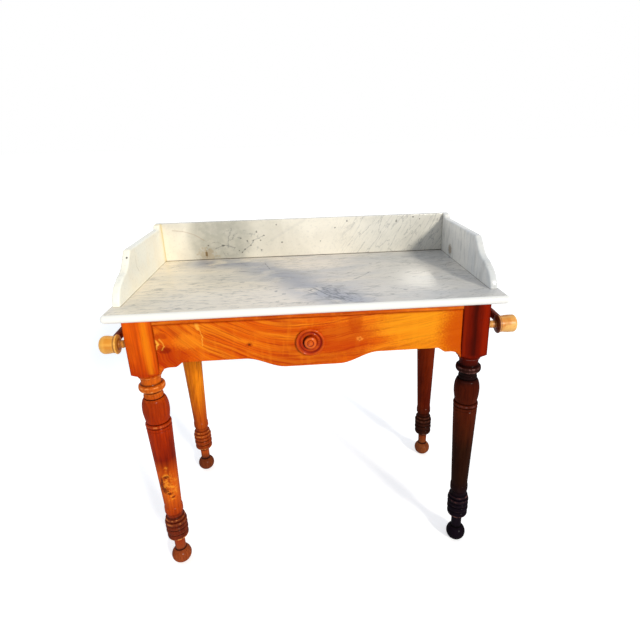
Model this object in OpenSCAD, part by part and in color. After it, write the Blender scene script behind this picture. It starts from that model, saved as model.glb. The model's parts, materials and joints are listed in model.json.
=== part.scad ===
// Washstand with a marble top: turned legs, one scalloped drawer and a towel rail on each side.
// Millimetres, +Z up, front towards -Y, floor at Z = 0.

/* [Marble] */
// Height of the slab's upper face above the floor
top_z = 723; // [700:1:760]
// Width of the slab
slab_w = 900; // [880:1:960]
// Depth of the slab
slab_d = 488; // [470:1:540]
// Thickness of the slab, which is also the diameter of its rounded nose
slab_t = 19; // [16:0.5:24]
// Thickness of the three upstands
upstand_t = 18; // [15:0.5:22]
// Height of the back upstand above the slab
back_h = 113; // [108:1:140]
// Height of the level stretch of the side upstands above the slab
side_h = 102; // [92:1:104]
// Distance from the slab's front edge to the foot of a side upstand
side_foot = 59; // [50:1:80]

/* [Frame] */
// Side of the square block on top of each leg
block = 63; // [60:1:66]
// Length of the square block
block_h = 131; // [126:1:140]
// Overhang of the slab over the front of the blocks
front_over = 8.5; // [5:0.5:20]
// Overhang of the slab over each side of the frame
side_over = 41.5; // [36:0.5:48]
// Overhang of the slab over the back of the frame
back_over = 30.5; // [15:0.5:36]
// Thickness of the thin rail above the drawer front
top_rail_t = 9; // [7:0.5:12]
// Height of the side and back rails
rail_h = 114; // [108:1:118]
// Thickness of the side and back rails
rail_t = 20; // [18:0.5:22]

/* [Drawer] */
// Thickness of the drawer front
front_t = 22; // [20:0.5:26]
// Height of the drawer front over its level stretches
front_h = 91.5; // [90:0.5:96]
// How far the wide drop in the middle hangs below the level stretches
drop_mid = 25; // [15:1:28]
// How far the ends hang below the level stretches
drop_end = 28.5; // [24:0.5:30]
// Thickness of the drawer sides
drawer_side_t = 12; // [10:0.5:13]
// Length of the drawer, front face to the rear ends of the sides
drawer_l = 379; // [340:1:380]
// Outer radius of the knob
knob_r = 32.5; // [30:0.5:36]
// How far the knob stands out from the drawer front
knob_l = 15; // [14:0.5:20]
// How far the knob sits to the right of the middle
knob_x = -4; // [-6:0.5:6]

/* [Towel rails] */
// Diameter of the towel rails
towel_d = 20; // [16:0.5:22]
// Radius of the peg heads at their inner rim
peg_r = 22.3; // [21:0.1:24]
// Length of the left pegs outside the block
peg_l_left = 66; // [66:0.5:72]
// Length of the right pegs outside the block
peg_l_right = 75.5; // [72:0.5:84]
// Distance from the block to the head of a left peg
peg_seat_left = 25; // [23:0.5:27]
// Distance from the block to the head of a right peg
peg_seat_right = 28; // [23:0.5:30]

/* [Hidden] */
$fn = 96;

marble_colour = [0.86, 0.86, 0.85];
wood_colour = [0.62, 0.27, 0.08];
inner_wood_colour = [0.72, 0.52, 0.30];
knob_colour = [0.42, 0.10, 0.04];
peg_colour = [0.82, 0.55, 0.24];
dark_wood_colour = [0.20, 0.09, 0.04];
metal_colour = [0.45, 0.36, 0.20];

// Places across the depth. The model is centred between the knob's tip and the slab's back edge.
knob_lead = knob_l - front_over;
front_y = -(slab_d - knob_lead) / 2;
back_y = front_y + slab_d;
face_y = front_y + front_over;
leg_front_y = face_y + block / 2;
leg_back_y = back_y - back_over - block / 2;
bay_y0 = face_y + block;
bay_y1 = back_y - back_over - block;

// Places across the width, for the right side
block_out = slab_w / 2 - side_over;
block_in = block_out - block;
leg_x = block_out - block / 2;
nose_r = slab_t / 2;
upstand_out = slab_w / 2 - nose_r;
upstand_in = upstand_out - upstand_t;
upstand_y = back_y - upstand_t;

// Places in height
slab_z = top_z - slab_t;
block_z = slab_z - block_h;
rail_z = slab_z - rail_h;
peg_drop = 62;
peg_z = slab_z - peg_drop;

// Joint sizes in the frame
rail_set_back = 3;
rail_out = block_out - rail_set_back;
rail_in = rail_out - rail_t;
back_rail_y = back_y - back_over - rail_set_back - rail_t;
tenon_t = 8;
tenon_l = 23;
tenon_shoulder = 10;
joint_peg_r = 3;
joint_peg_drop = [28, 88];
dovetail_l = 25;

// Marble pins: how far back those of the sides stand, and where those of the back stand
pin_r = 2.5;
pin_depth = 12;
side_pin_y = [front_y + 150, front_y + 380];
back_pin_x = [-300, 0, 300];

// Drawer places
side_gap = 1.5;
rail_gap = 1;
slip = 0.3;
front_top_z = slab_z - top_rail_t - rail_gap;
level_z = front_top_z - front_h;
side_out = block_in - side_gap;
side_in = side_out - drawer_side_t;
runner_t = 17.5;
runner_top = rail_z + runner_t;
runner_in = side_in - 5;
drawer_side_z = runner_top + slip;
kicker_t = 12;
drawer_side_top = slab_z - kicker_t - 1.2;
front_back_y = face_y + front_t;
lap = 6;
side_front_y = face_y + lap;
side_back_y = face_y + drawer_l;
groove = 4;
bottom_t = 7;
bottom_z = drawer_side_z + 6;
drawer_back_t = 12;
drawer_back_y = side_back_y - drawer_back_t - 4;
stop_h = 20;
knob_tenon_r = 7;
knob_tenon_l = 14;
knob_drop = 67;
knob_z = slab_z - knob_drop;
plug_r = 3;
plug_depth = 8;
plug_x = [-140, 108];

// Peg and towel rail places; a rail stands in the middle of the heads that hold it
peg_tenon_r = 7;
peg_tenon_l = 26;
towel_socket = 12;
towel_inset = 17;
function peg_l(side) = side < 0 ? peg_l_left : peg_l_right;
function peg_seat(side) = side < 0 ? peg_seat_left : peg_seat_right;

// Points on an arc about c, from angle a0 to a1
function arc(c, r, a0, a1, n = 8) =
    [for (i = [0:n]) c + r * [cos(a0 + (a1 - a0) * i / n), sin(a0 + (a1 - a0) * i / n)]];

// A turned bead: [radius, height] points that swell from base to crest between two heights
function bead(base, crest, z0, z1, n = 8) =
    [for (i = [0:n]) let (a = 180 * i / n)
        [base + (crest - base) * sin(a), z0 + (z1 - z0) * (1 - cos(a)) / 2]];

// A quarter of an ellipse between two [radius, height] points, upright at p0 and level at p1
function flare(p0, p1, n = 6) =
    [for (i = [0:n]) let (a = 90 * i / n)
        [p1[0] + (p0[0] - p1[0]) * cos(a), p0[1] + (p1[1] - p0[1]) * sin(a)]];

// The same quarter, level at p0 and upright at p1
function cove(p0, p1, n = 6) =
    [for (i = [0:n]) let (a = 90 * i / n)
        [p0[0] + (p1[0] - p0[0]) * sin(a), p1[1] + (p0[1] - p1[1]) * cos(a)]];

// ---------- marble ----------

// One pin hole or pin, standing across the joint at the slab's upper face
module marble_pin() {
    translate([0, 0, top_z - pin_depth]) cylinder(r = pin_r, h = 2 * pin_depth);
}

module marble_pins() {
    for (side = [-1, 1])
        for (y = side_pin_y)
            translate([side * (upstand_in + upstand_t / 2), y, 0]) marble_pin();
    for (x = back_pin_x)
        translate([x, back_y - upstand_t / 2, 0]) marble_pin();
}

module marble_slab() {
    flat_w = slab_w - 2 * nose_r;
    nose_z = top_z - nose_r;
    color(marble_colour)
    difference() {
        union() {
            translate([-flat_w / 2, front_y + nose_r, slab_z])
                cube([flat_w, slab_d - nose_r, slab_t]);
            translate([-flat_w / 2, front_y + nose_r, nose_z])
                rotate([0, 90, 0]) cylinder(r = nose_r, h = flat_w);
            for (side = [-1, 1])
                translate([side * flat_w / 2, front_y + nose_r, nose_z]) {
                    rotate([-90, 0, 0]) cylinder(r = nose_r, h = slab_d - nose_r);
                    sphere(r = nose_r);
                }
        }
        marble_pins();
    }
}

module back_upstand() {
    color(marble_colour)
    difference() {
        translate([-upstand_out, upstand_y, top_z]) cube([2 * upstand_out, upstand_t, back_h]);
        marble_pins();
    }
}

// Side upstand seen from the right: [distance behind the slab's front edge, height above the slab]
foot_arc_r = 57.6;
foot_arc_drop = 8;
foot_arc_a = 180 - asin(foot_arc_drop / foot_arc_r);
foot_arc_c = [side_foot - foot_arc_r * cos(foot_arc_a), -foot_arc_drop];
scroll_arc_r = 65;
scroll_arc_c = [side_foot + 51, side_h + 18];
shoulder_r = 5;
notch_back = 12;
notch_front = 28;
side_end = slab_d - upstand_t;
side_outline = concat(
    arc(foot_arc_c, foot_arc_r, foot_arc_a, 105),
    arc(scroll_arc_c, scroll_arc_r, -85, -45),
    arc([side_foot + 127, side_h - shoulder_r], shoulder_r, 135, 90, 4),
    arc([side_end - notch_front, back_h], back_h - side_h, -90, -15, 6),
    [[side_end - notch_back, back_h], [side_end, back_h], [side_end, 0]]
);

module side_upstand(side) {
    color(marble_colour)
    difference() {
        translate([side < 0 ? -upstand_out : upstand_in, front_y, top_z])
            rotate([90, 0, 90])
                linear_extrude(height = upstand_t) polygon(side_outline);
        marble_pins();
    }
}

module upstand_pins() {
    color(metal_colour) marble_pins();
}

// ---------- legs ----------

// Turned outline of a leg from the floor up: [radius, height]
foot_r = 25.5;
foot_rise = 24.6;
foot_mid = 23;
foot_a0 = -asin(foot_mid / foot_rise);
neck_r = 14;
foot_a1 = acos(neck_r / foot_r);
taper_low_r = 21.2;
taper_top_r = 29.6;
leg_outline = concat(
    [[0, 0]],
    [for (i = [0:14]) let (a = foot_a0 + (foot_a1 - foot_a0) * i / 14)
        [foot_r * cos(a), max(0, foot_mid + foot_rise * sin(a))]],
    [[13.6, 54], [13.7, 70]],
    flare([14.5, 76], [22, 86]),
    bead(23, 26.8, 87, 103),
    bead(24.5, 27.6, 104.5, 118.5),
    [[24, 119.5]],
    bead(25, 27.5, 120.5, 131),
    bead(25, 27.7, 132, 143.5),
    bead(23, 24.9, 144.5, 153.5, 6),
    cove([22.2, 154], [19.9, 161], 4),
    [[19.7, 165], [21.4, 168]],
    bead(22.4, 22.9, 169, 186, 4),
    [[taper_low_r, 188], [taper_top_r - 0.2, 419]],
    bead(28.2, 29.9, 421, 428.5, 6),
    [[27.9, 429.5]],
    bead(28.2, 30.4, 430.5, 439, 6),
    [[26.4, 440.5]],
    [for (i = [0:8]) [27 + 4 * sin(90 * i / 8), 442 + 32 * i / 8]],
    [for (i = [1:8]) [21.5 + 9.5 * cos(90 * i / 8), 474 + 31 * sin(90 * i / 8)]],
    bead(21.2, 22.7, 506.5, 514.5, 6),
    flare([21.4, 516], [28, 527]),
    bead(28.4, 30.2, 528, 540),
    cove([27.6, 541], [22.6, 551], 5),
    [[23.4, 557], [26.5, block_z - 11], [26.5, block_z + 20], [0, block_z + 20]]
);

// The lathe's cut across the foot of the square block, which leaves an arc on each face
module block_cut() {
    rotate_extrude()
        polygon([
            [0, block_z - 11], [26.5, block_z - 11], [block / 2, block_z - 3],
            [block * 0.72, block_z + 5], [block * 0.72, slab_z], [0, slab_z]
        ]);
}

// Dovetailed end of the thin front rail, let into the top of a front block
module rail_dovetail() {
    translate([block_in, face_y, slab_z - top_rail_t])
        linear_extrude(height = top_rail_t)
            polygon([[-1, 10], [0, 10], [dovetail_l, 5], [dovetail_l, 45], [0, 40], [-1, 40]]);
}

// Tenons at both ends of the right side rail
module side_rail_tenons() {
    for (y0 = [bay_y0 - tenon_l, bay_y1])
        translate([rail_in + (rail_t - tenon_t) / 2, y0, rail_z + tenon_shoulder])
            cube([tenon_t, tenon_l, rail_h - 2 * tenon_shoulder]);
}

// Tenon at the right end of the back rail
module back_rail_tenon() {
    translate([block_in, back_rail_y + (rail_t - tenon_t) / 2, rail_z + tenon_shoulder])
        cube([tenon_l, tenon_t, rail_h - 2 * tenon_shoulder]);
}

// Wooden pegs through the mortise and tenon joints of the right side
module right_joint_pegs() {
    for (drop = joint_peg_drop) {
        for (y = [bay_y0 - tenon_l / 2, bay_y1 + tenon_l / 2])
            translate([rail_in - 2, y, slab_z - drop])
                rotate([0, 90, 0]) cylinder(r = joint_peg_r, h = block_out - rail_in + 2);
        translate([block_in + tenon_l / 2, back_rail_y - 2, slab_z - drop])
            rotate([-90, 0, 0]) cylinder(r = joint_peg_r, h = rail_t + rail_set_back + 2);
    }
}

module joint_pegs() {
    color(dark_wood_colour) {
        right_joint_pegs();
        mirror([1, 0, 0]) right_joint_pegs();
    }
}

module peg_hole(y) {
    translate([block_out - peg_tenon_l, y, peg_z])
        rotate([0, 90, 0]) cylinder(r = peg_tenon_r, h = peg_tenon_l + 1);
}

module right_leg(y, at_back) {
    difference() {
        translate([leg_x, y, 0])
            union() {
                rotate_extrude() polygon(leg_outline);
                intersection() {
                    translate([-block / 2, -block / 2, block_z - 11])
                        cube([block, block, block_h + 11]);
                    block_cut();
                }
            }
        side_rail_tenons();
        right_joint_pegs();
        peg_hole(y);
        if (at_back)
            back_rail_tenon();
        else
            rail_dovetail();
    }
}

module leg(side, at_back) {
    color(wood_colour)
    mirror([side < 0 ? 1 : 0, 0, 0])
        right_leg(at_back ? leg_back_y : leg_front_y, at_back);
}

// ---------- rails ----------

module side_rail(side) {
    color(wood_colour)
    mirror([side < 0 ? 1 : 0, 0, 0])
        difference() {
            union() {
                translate([rail_in, bay_y0, rail_z]) cube([rail_t, bay_y1 - bay_y0, rail_h]);
                side_rail_tenons();
            }
            right_joint_pegs();
        }
}

module back_rail() {
    color(wood_colour)
    difference() {
        union() {
            translate([-block_in, back_rail_y, rail_z]) cube([2 * block_in, rail_t, rail_h]);
            back_rail_tenon();
            mirror([1, 0, 0]) back_rail_tenon();
        }
        right_joint_pegs();
        mirror([1, 0, 0]) right_joint_pegs();
    }
}

module top_front_rail() {
    top_rail_d = 50;
    color(wood_colour) {
        translate([-block_in, face_y, slab_z - top_rail_t])
            cube([2 * block_in, top_rail_d, top_rail_t]);
        rail_dovetail();
        mirror([1, 0, 0]) rail_dovetail();
    }
}

// ---------- what the drawer runs in ----------

// A strip along the right side rail, from x0 to the rail and from z0 up by t
module strip(x0, z0, t) {
    translate([x0, bay_y0, z0]) cube([rail_in - x0, bay_y1 - bay_y0, t]);
}

module runner(side) {
    color(inner_wood_colour) mirror([side < 0 ? 1 : 0, 0, 0]) strip(runner_in, rail_z, runner_t);
}

module guide(side) {
    guide_h = 30;
    color(inner_wood_colour) mirror([side < 0 ? 1 : 0, 0, 0]) strip(block_in, runner_top, guide_h);
}

module kicker(side) {
    color(inner_wood_colour)
    mirror([side < 0 ? 1 : 0, 0, 0]) strip(runner_in, slab_z - kicker_t, kicker_t);
}

module drawer_stops() {
    color(inner_wood_colour)
    for (side = [0, 1])
        mirror([side, 0, 0])
            translate([side_in, side_back_y + slip, runner_top])
                cube([drawer_side_t, bay_y1 - side_back_y - slip, stop_h]);
}

// ---------- drawer ----------

// Lower edge of the drawer front, right half: heights above the floor
ease_n = 10;
mid_x0 = 60;
mid_x1 = 152;
lip_x0 = 288;
lip_x1 = 309;
cove_x = 319;
lip_drop = 11;
function ease(t) = (1 - cos(180 * t)) / 2;
front_edge = concat(
    [for (i = [0:ease_n]) let (t = i / ease_n)
        [mid_x0 + (mid_x1 - mid_x0) * t, level_z - drop_mid * (1 - ease(t))]],
    [for (i = [0:ease_n]) let (t = i / ease_n)
        [lip_x0 + (lip_x1 - lip_x0) * t, level_z - lip_drop * ease(t)]],
    [for (i = [0:ease_n]) let (a = 90 * i / ease_n)
        [cove_x + (side_out - cove_x) * sin(a),
         level_z - drop_end + (drop_end - lip_drop) * cos(a)]]
);
front_outline = concat(
    front_edge,
    [[side_out, front_top_z], [-side_out, front_top_z]],
    [for (i = [len(front_edge) - 1:-1:0]) [-front_edge[i][0], front_edge[i][1]]]
);

// Lapped dovetails at the front end of the right drawer side
tails = 3;
module side_tails() {
    pitch = (drawer_side_top - drawer_side_z) / tails;
    tail_root = pitch * 0.5;
    tail_tip = pitch * 0.72;
    for (i = [0:tails - 1])
        translate([side_in, 0, drawer_side_z + pitch * (i + 0.5)])
            rotate([90, 0, 90])
                linear_extrude(height = drawer_side_t)
                    polygon([
                        [side_front_y, -tail_tip / 2], [front_back_y, -tail_root / 2],
                        [front_back_y + 1, -tail_root / 2], [front_back_y + 1, tail_root / 2],
                        [front_back_y, tail_root / 2], [side_front_y, tail_tip / 2]
                    ]);
}

module drawer_bottom_panel() {
    translate([-side_in - groove, front_back_y - groove, bottom_z])
        cube([2 * (side_in + groove), side_back_y - front_back_y, bottom_t]);
}

module drawer_front() {
    color(wood_colour)
    difference() {
        translate([0, front_back_y, 0])
            rotate([90, 0, 0]) linear_extrude(height = front_t) polygon(front_outline);
        side_tails();
        mirror([1, 0, 0]) side_tails();
        drawer_bottom_panel();
        translate([knob_x, face_y - 1, knob_z])
            rotate([-90, 0, 0]) cylinder(r = knob_tenon_r, h = knob_tenon_l + 1);
        for (x = plug_x)
            translate([x, face_y - 1, knob_z])
                rotate([-90, 0, 0]) cylinder(r = plug_r, h = plug_depth + 1);
    }
}

module drawer_side(side) {
    color(inner_wood_colour)
    mirror([side < 0 ? 1 : 0, 0, 0])
        difference() {
            union() {
                translate([side_in, front_back_y, drawer_side_z])
                    cube([drawer_side_t, side_back_y - front_back_y, drawer_side_top - drawer_side_z]);
                side_tails();
            }
            drawer_bottom_panel();
            drawer_back_board();
        }
}

module drawer_back_board() {
    back_drop = 6;
    translate([-side_in - groove, drawer_back_y, bottom_z + bottom_t])
        cube([
            2 * (side_in + groove), drawer_back_t,
            drawer_side_top - back_drop - bottom_z - bottom_t
        ]);
}

module drawer_back() {
    color(inner_wood_colour) drawer_back_board();
}

module drawer_bottom() {
    color(inner_wood_colour) drawer_bottom_panel();
}

// Knob outline: a rolled rim, a dished ring, a raised ring, a groove and a button with a dished face.
// Each point is [radius, distance out from the drawer front].
rim_roll = 3.5;
button_r = 12.5;
groove_r = 14;
knob_outline = concat(
    [[0, -knob_tenon_l], [knob_tenon_r, -knob_tenon_l], [knob_tenon_r, 0], [knob_r - 2, 0]],
    arc([knob_r - rim_roll, 4.7], rim_roll, -50, 100, 12),
    [[knob_r - 6, 7], [knob_r - 8.5, 5.2], [knob_r - 11, 4.5]],
    arc([groove_r + 2.9, 4.9], 2.1, 40, 150, 8),
    [[groove_r + 0.3, 4.4], [groove_r - 0.6, 4], [button_r + 0.2, 4.4], [button_r - 0.4, 7]],
    arc([button_r - 2.6, knob_l - 2.6], 2, -10, 100, 8),
    [[button_r - 4.6, knob_l - 1.6], [button_r - 6.4, knob_l - 2.4], [4.8, knob_l - 2.6]],
    [for (i = [0:6]) [3.6 * cos(15 * i), knob_l - 2.2 + 2.2 * sin(15 * i)]]
);

module drawer_knob() {
    color(knob_colour)
    translate([knob_x, face_y, knob_z])
        rotate([90, 0, 0]) rotate_extrude() polygon(knob_outline);
}

module handle_hole_plugs() {
    color(dark_wood_colour)
    for (x = plug_x)
        translate([x, face_y, knob_z])
            rotate([-90, 0, 0]) cylinder(r = plug_r, h = plug_depth);
}

// ---------- towel pegs and rails ----------

// Peg outline: [radius, distance out from the block's side face]. The left heads are short and
// well rounded at the end, and the right ones longer and flatter.
peg_end_r = peg_r - 1.5;
peg_waist_r = peg_r - 2.7;
peg_tip_r = 9;
function peg_outline(side) =
    let (seat = peg_seat(side), l = peg_l(side), round_l = side < 0 ? 13 : 9)
    concat(
        [[0, -peg_tenon_l], [peg_tenon_r, -peg_tenon_l], [peg_tenon_r, 0]],
        [[10, 0], [10, 2.5], [8, 4], [7.6, 10]],
        bead(7.8, 9.2, 12, seat - 3, 8),
        [[8.2, seat - 1.8], [11, seat - 0.8], [17, seat]],
        arc([peg_r - 2.4, seat + 2.6], 2.4, -80, 80, 8),
        [[peg_r - 2.2, seat + 6.5], [peg_waist_r, seat + 11], [peg_waist_r, seat + 15]],
        [[peg_end_r - 0.3, seat + 21], [peg_end_r, seat + 25.5]],
        [for (i = [0:8]) let (a = 90 * i / 8)
            [peg_tip_r + (peg_end_r - peg_tip_r) * cos(a), l - round_l + (round_l - 1) * sin(a)]],
        [[0, l]]
    );

// The rail runs from a socket in the front peg's head to one in the back peg's
module towel_rod(side) {
    translate([
        block_out + peg_seat(side) + towel_inset, leg_front_y + peg_r - towel_socket, peg_z
    ])
        rotate([-90, 0, 0])
            cylinder(d = towel_d, h = leg_back_y - leg_front_y - 2 * (peg_r - towel_socket));
}

module towel_peg(side, at_back) {
    color(peg_colour)
    mirror([side < 0 ? 1 : 0, 0, 0])
        difference() {
            translate([block_out, at_back ? leg_back_y : leg_front_y, peg_z])
                rotate([0, 90, 0]) rotate_extrude() polygon(peg_outline(side));
            towel_rod(side);
        }
}

module towel_rail(side) {
    color(dark_wood_colour) mirror([side < 0 ? 1 : 0, 0, 0]) towel_rod(side);
}

// ---------- nodes ----------

marble_slab();
back_upstand();
side_upstand(-1);  // left_upstand
side_upstand(1);  // right_upstand
upstand_pins();
leg(-1, false);  // leg_front_left
leg(1, false);  // leg_front_right
leg(-1, true);  // leg_back_left
leg(1, true);  // leg_back_right
side_rail(-1);  // side_rail_left
side_rail(1);  // side_rail_right
back_rail();
top_front_rail();
joint_pegs();
runner(-1);  // runner_left
runner(1);  // runner_right
guide(-1);  // guide_left
guide(1);  // guide_right
kicker(-1);  // kicker_left
kicker(1);  // kicker_right
drawer_stops();
drawer_front();
drawer_side(-1);  // drawer_side_left
drawer_side(1);  // drawer_side_right
drawer_back();
drawer_bottom();
drawer_knob();
handle_hole_plugs();
towel_peg(-1, false);  // peg_front_left
towel_peg(1, false);  // peg_front_right
towel_peg(-1, true);  // peg_back_left
towel_peg(1, true);  // peg_back_right
towel_rail(-1);  // towel_rail_left
towel_rail(1);  // towel_rail_right
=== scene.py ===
"""Looks of a washstand: a marble top on turned legs, one scalloped drawer and two towel rails.

+Z is up and the front faces -Y. Outlines, and the places and sizes of marks, are in millimetres,
and the rest is in metres. A colour of three numbers is as it shows on a screen, from 0 to 255.
"""

import functools
import itertools
import json
import math
import operator

import bmesh
import bpy
from mathutils import Matrix, Vector

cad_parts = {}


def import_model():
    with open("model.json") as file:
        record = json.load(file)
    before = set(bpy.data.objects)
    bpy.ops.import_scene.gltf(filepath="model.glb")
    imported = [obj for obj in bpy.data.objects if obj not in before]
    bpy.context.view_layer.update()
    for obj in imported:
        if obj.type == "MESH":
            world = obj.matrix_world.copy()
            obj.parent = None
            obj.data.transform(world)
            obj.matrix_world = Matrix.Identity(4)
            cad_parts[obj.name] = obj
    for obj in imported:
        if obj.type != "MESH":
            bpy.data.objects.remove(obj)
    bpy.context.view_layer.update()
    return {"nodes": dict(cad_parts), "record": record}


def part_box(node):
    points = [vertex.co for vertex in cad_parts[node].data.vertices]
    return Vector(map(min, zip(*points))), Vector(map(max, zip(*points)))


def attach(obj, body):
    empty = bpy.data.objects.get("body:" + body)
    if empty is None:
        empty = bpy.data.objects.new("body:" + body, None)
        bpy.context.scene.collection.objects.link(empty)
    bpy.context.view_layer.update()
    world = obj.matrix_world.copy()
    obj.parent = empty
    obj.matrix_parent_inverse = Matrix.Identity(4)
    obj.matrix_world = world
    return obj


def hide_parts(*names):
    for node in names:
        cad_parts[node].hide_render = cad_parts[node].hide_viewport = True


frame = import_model()

MM = 0.001
QUARTER = math.pi / 2
BODIES = frame["record"]["behaviour"]["bodies"]


def middle(node):
    """The middle of a node's box."""
    return [(low + high) / 2 for low, high in zip(*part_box(node))]


# ---------- places, from the frame ----------

slab_lo, slab_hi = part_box("marble_slab")
back_lo, back_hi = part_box("back_upstand")
left_lo, left_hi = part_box("left_upstand")
right_lo, right_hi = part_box("right_upstand")
block_lo, block_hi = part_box("leg_front_right")
back_leg_lo, back_leg_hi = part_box("leg_back_right")
front_lo, front_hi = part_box("drawer_front")
knob_x, _, knob_z = middle("drawer_knob")
TOP_Z = slab_hi.z
SLAB_Z = slab_lo.z
FRONT_Y = slab_lo.y
BLOCK = block_hi.x - block_lo.x
BLOCK_Z = SLAB_Z - 131 * MM
FACE_Y = front_lo.y
PLUG_X = (-140, 108)
PLUG_R = 3


# ---------- outlines ----------


def spread(start, end, steps):
    """Evenly spaced numbers from start to end."""
    return [start + (end - start) * i / steps for i in range(steps + 1)]


def arc(centre, radius, start, end, steps=12):
    """Points on an arc, with angles in degrees."""
    angles = [math.radians(a) for a in spread(start, end, steps)]
    return [(centre[0] + radius * math.cos(a), centre[1] + radius * math.sin(a)) for a in angles]


def bead(base, crest, z0, z1):
    """A turned bead that swells from base to crest between two heights."""
    return [
        (base + (crest - base) * math.sin(a), z0 + (z1 - z0) * (1 - math.cos(a)) / 2)
        for a in spread(0, math.pi, 14)
    ]


def flare(p0, p1):
    """A quarter of an ellipse, upright at p0 and level at p1."""
    return [
        (p1[0] + (p0[0] - p1[0]) * math.cos(a), p0[1] + (p1[1] - p0[1]) * math.sin(a))
        for a in spread(0, QUARTER, 10)
    ]


def rectangle(u0, v0, u1, v1, radius):
    """A rectangle with rounded corners, anticlockwise."""
    corners = [(u1, v0, -1, 1, 270), (u1, v1, -1, -1, 0), (u0, v1, 1, -1, 90), (u0, v0, 1, 1, 180)]
    points = []
    for u, v, du, dv, start in corners:
        points += arc((u + du * radius, v + dv * radius), radius, start, start + 90, 4)
    return points


def relief(profile, reach=9.0, depth=4.0):
    """How far each point of a turned outline lies below (+) or above (-) its surroundings, over depth.

    Each point of the outline gives how far out it stands and where it is along the outline.
    """
    padded = [profile[0], *profile, profile[-1]]
    lengths = [
        (math.dist(before, p) + math.dist(p, after)) / 2
        for before, p, after in zip(padded, profile, padded[2:])
    ]
    result = []
    for radius, height in profile:
        weights = [
            length * math.exp(-(((h - height) / reach) ** 2))
            for length, (_, h) in zip(lengths, profile)
        ]
        mean = sum(w * r for w, (r, _) in zip(weights, profile)) / max(sum(weights), 1e-9)
        result.append(max(-1.0, min(1.0, (mean - radius) / depth)))
    return result


# ---------- meshes ----------


def weld(verts, faces, values=None):
    """A mesh with its doubled points joined and its faces outward."""
    mesh = bpy.data.meshes.new("mesh")
    mesh.from_pydata([tuple(v) for v in verts], [], faces)
    if values:
        mesh.attributes.new("relief", "FLOAT", "POINT").data.foreach_set("value", values)
    bm = bmesh.new()
    bm.from_mesh(mesh)
    bmesh.ops.remove_doubles(bm, verts=bm.verts, dist=0.01 * MM)
    bmesh.ops.recalc_face_normals(bm, faces=bm.faces)
    bm.to_mesh(mesh)
    bm.free()
    return mesh


def skin(rings, values=None):
    """A closed surface through rings of equal length."""
    count = len(rings[0])
    last = (len(rings) - 1) * count
    faces = [
        (k + j, k + (j + 1) % count, k + count + (j + 1) % count, k + count + j)
        for k in range(0, last, count)
        for j in range(count)
    ]
    faces += [tuple(reversed(range(count))), tuple(range(last, last + count))]
    each = [value for value in values for _ in range(count)] if values else None
    return weld(itertools.chain(*rings), faces, each)


def turned(profile, spot, count=72, faceplate=False):
    """A lathe-turned mesh. spot gives the place of a point across and along the axis.

    A faceplate turning, such as a knob, has its relief along the axis and not across it.
    """
    turns = [2 * math.pi * j / count for j in range(count)]
    rings = [
        [spot(r * MM * math.cos(t), r * MM * math.sin(t), h * MM) for t in turns]
        for r, h in profile
    ]
    return skin(rings, relief([(h, r) for r, h in profile] if faceplate else profile))


def draw_in(outline, eased):
    """How each corner moves where the eased edges of an anticlockwise outline are drawn in by 1."""
    normals, flags = [], []
    for (u0, v0), (u1, v1) in zip(outline, outline[1:] + outline[:1]):
        length = math.hypot(u1 - u0, v1 - v0)
        normals.append(((v0 - v1) / length, (u1 - u0) / length))
        flags.append(1.0 if eased((u0 + u1) / 2, (v0 + v1) / 2) else 0.0)
    moves = []
    for i, ((bx, by), fb) in enumerate(zip(normals, flags)):
        (ax, ay), fa = normals[i - 1], flags[i - 1]
        det = ax * by - ay * bx
        if abs(det) < 0.02:
            moves.append(((ax * fa + bx * fb) / 2, (ay * fa + by * fb) / 2))
        else:
            moves.append(((fa * by - fb * ay) / det, (ax * fb - bx * fa) / det))
    return moves


def plate(outline, near, far, ease_near, ease_far, spot, eased=lambda u, v: True, steps=5):
    """An outline given thickness, with rounded edges on both faces."""
    rows = []
    for start, ease, way in ((near, ease_near, 1), (far, ease_far, -1)):
        angles = spread(0, QUARTER, steps) if ease else [QUARTER]
        side = [(ease * (1 - math.sin(a)), start + way * ease * (1 - math.cos(a))) for a in angles]
        rows += side[::way]
    moves = draw_in(outline, eased)
    rings = [
        [
            spot((u + inset * du) * MM, (v + inset * dv) * MM, depth * MM)
            for (u, v), (du, dv) in zip(outline, moves)
        ]
        for inset, depth in rows
    ]
    return skin(rings)


def board(lo, hi, ease=0.8):
    """A board with eased edges between two corners."""
    size = hi - lo
    axis = max(range(3), key=lambda i: size[i])
    u, v = [i for i in range(3) if i != axis]

    def spot(a, b, c):
        point = [0, 0, 0]
        point[u], point[v], point[axis] = a, b, c
        return point

    outline = rectangle(lo[u] / MM, lo[v] / MM, hi[u] / MM, hi[v] / MM, ease)
    return plate(outline, lo[axis] / MM, hi[axis] / MM, ease, ease, spot, steps=3)


def merged(meshes):
    """Several meshes as one."""
    bm = bmesh.new()
    for mesh in meshes:
        bm.from_mesh(mesh)
    whole = bpy.data.meshes.new("mesh")
    bm.to_mesh(whole)
    bm.free()
    return whole


def put(name, data):
    """A new object in the scene."""
    made = bpy.data.objects.new(name, data)
    bpy.context.scene.collection.objects.link(made)
    return made


def carved(mesh, cutter):
    """The mesh with the cutter taken out of it."""
    body, tool = put("carving", mesh), put("carving", cutter)
    modifier = body.modifiers.new("carve", "BOOLEAN")
    modifier.object = tool
    modifier.solver = "EXACT"
    depsgraph = bpy.context.evaluated_depsgraph_get()
    result = bpy.data.meshes.new_from_object(body.evaluated_get(depsgraph))
    for made in (body, tool):
        bpy.data.objects.remove(made)
    return result


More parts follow.
